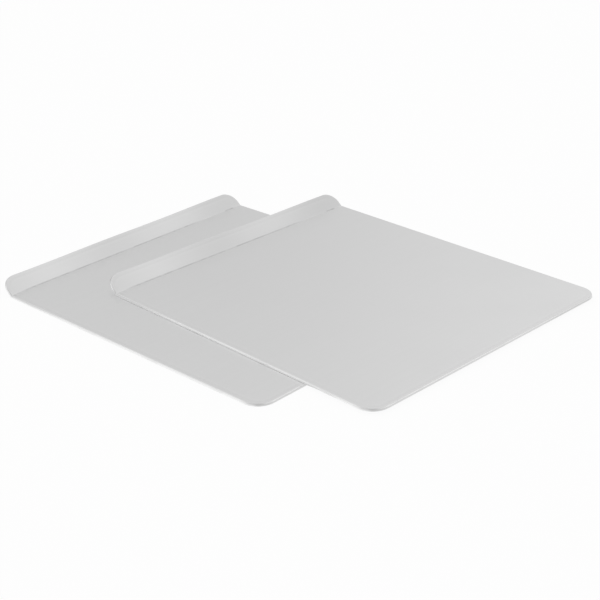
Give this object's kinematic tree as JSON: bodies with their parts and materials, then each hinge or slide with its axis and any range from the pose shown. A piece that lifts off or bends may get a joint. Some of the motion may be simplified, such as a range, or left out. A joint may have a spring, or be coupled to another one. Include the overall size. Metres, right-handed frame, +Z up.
{
  "type": "cookie sheet",
  "caption": "Insulated flat baking sheets, one lying on the other, each two aluminium skins with an air gap, a folded hem and a turned-up lip along one side.",
  "frame": {"origin": "centre of the flat underside that the lower sheet rests on", "axes": "+Z up, +Y towards the lower sheet's lip, +X along that lip"},
  "size_m": [0.4301, 0.5107, 0.0208],
  "materials": {
    "rear_upper_skin": "satin, finely brushed along the lip",
    "rear_lower_skin": "satin mill finish",
    "front_upper_skin": "satin, finely brushed along the lip",
    "front_lower_skin": "satin mill finish"
  },
  "bodies": {
    "rear_sheet": {"rear_upper_skin": "rear_upper_skin", "rear_lower_skin": "rear_lower_skin"},
    "front_sheet": {"front_upper_skin": "front_upper_skin", "front_lower_skin": "front_lower_skin"}
  },
  "joints": [
    {"name": "front_sheet_lift", "type": "slide", "parent": "rear_sheet", "child": "front_sheet", "axis": [0, 0, 1], "range_m": [0, 0.06]}
  ]
}
